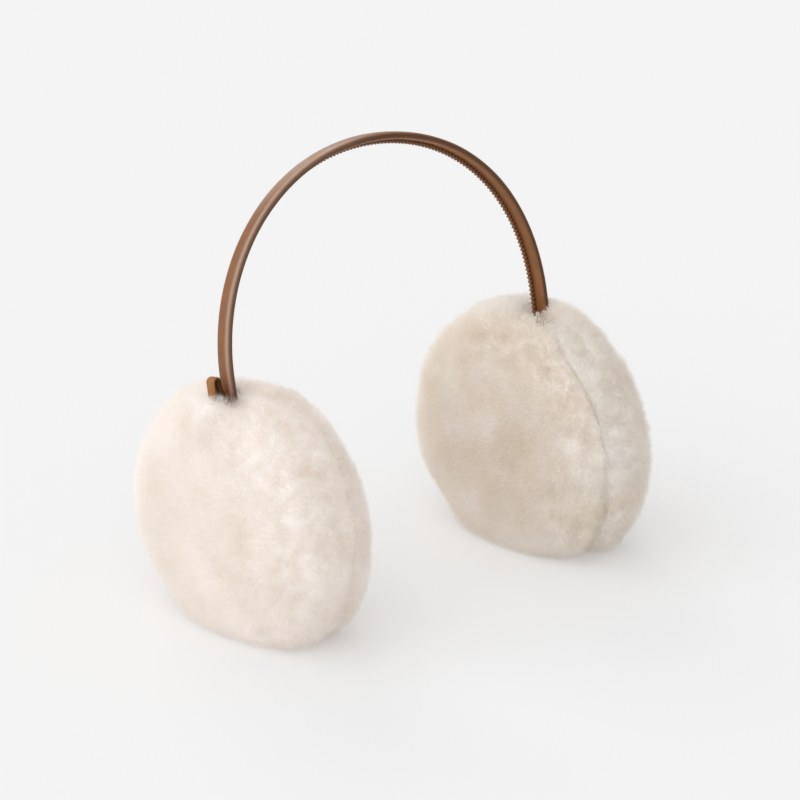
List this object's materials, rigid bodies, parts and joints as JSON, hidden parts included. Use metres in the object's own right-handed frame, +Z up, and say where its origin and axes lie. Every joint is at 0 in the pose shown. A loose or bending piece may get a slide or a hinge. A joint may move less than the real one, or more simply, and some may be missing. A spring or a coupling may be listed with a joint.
{
  "type": "fur earmuffs",
  "caption": "Round shearling ear pads on a slim leather-wrapped spring headband that goes over the head.",
  "frame": {"origin": "on the surface that the pads stand on, below the middle of the earmuffs", "axes": "+X from the near ear pad of the picture to the far one, +Z up, and the headband leans back towards +Y"},
  "size_m": [0.1924, 0.1094, 0.1688],
  "materials": {
    "leather": "smooth tan-brown leather with a soft sheen",
    "fur": "dense short cream shearling",
    "thread": "dark brown waxed sewing thread"
  },
  "bodies": {
    "root": {"headband": "leather", "end_loop": "leather", "ear_pad_left_outer": "fur", "ear_pad_left_inner": "fur", "ear_pad_right_outer": "fur", "ear_pad_right_inner": "fur"}
  },
  "joints": []
}
